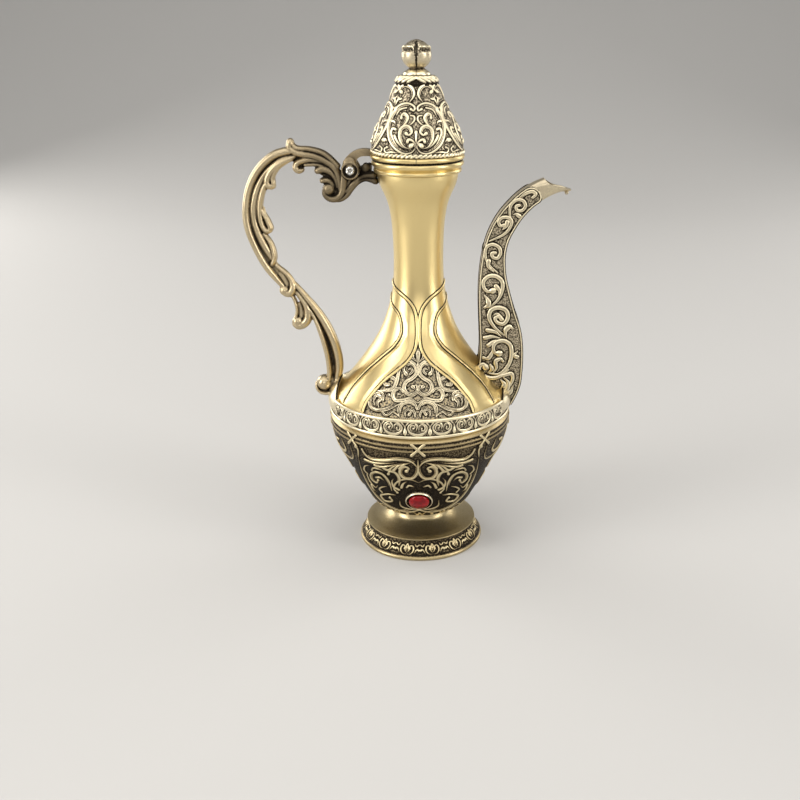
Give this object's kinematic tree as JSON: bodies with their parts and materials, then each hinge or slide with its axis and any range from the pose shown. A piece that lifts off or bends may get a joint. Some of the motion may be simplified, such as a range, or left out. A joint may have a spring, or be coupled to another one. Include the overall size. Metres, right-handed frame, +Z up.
{
  "type": "dallah coffee pot",
  "caption": "Footed metal coffee pot with a waisted neck, curved spout, cast scroll handle and a domed lid hinged on the handle, for pouring coffee.",
  "frame": {"origin": "centre of the face the pot stands on", "axes": "+Z up, spout along +X, handle and hinge along -X"},
  "size_m": [0.1505, 0.0878, 0.2403],
  "materials": {
    "plain_brass": "turned and brushed, lacquered",
    "relief_brass": "cast relief, dark patina wiped off the high parts",
    "dark_brass": "cast relief, heavy dark patina",
    "handle_brass": "cast, dark patina in the grooves",
    "steel": "plain rivet and screw",
    "stone": "polished red cabochon"
  },
  "bodies": {
    "pot": {"foot": "relief_brass", "base_plate": "plain_brass", "bowl": "dark_brass", "stone_bezels": "dark_brass", "stones": "stone", "belt": "relief_brass", "shoulder_neck": "plain_brass", "mouth_collar": "plain_brass", "spout": "relief_brass", "handle": "handle_brass", "hinge_rivet": "steel"},
    "lid": {"lid_rim": "plain_brass", "lid_skirt": "plain_brass", "lid_dome": "relief_brass", "lid_strap": "handle_brass", "crown_ring": "plain_brass", "finial_button": "plain_brass", "finial_ball": "plain_brass", "finial_screw": "steel"}
  },
  "joints": [
    {"name": "lid_hinge", "type": "hinge", "parent": "pot", "child": "lid", "pos_m": [-0.0302, 0, 0.1848], "axis": [0, -1, 0], "range_deg": [0, 72]}
  ]
}
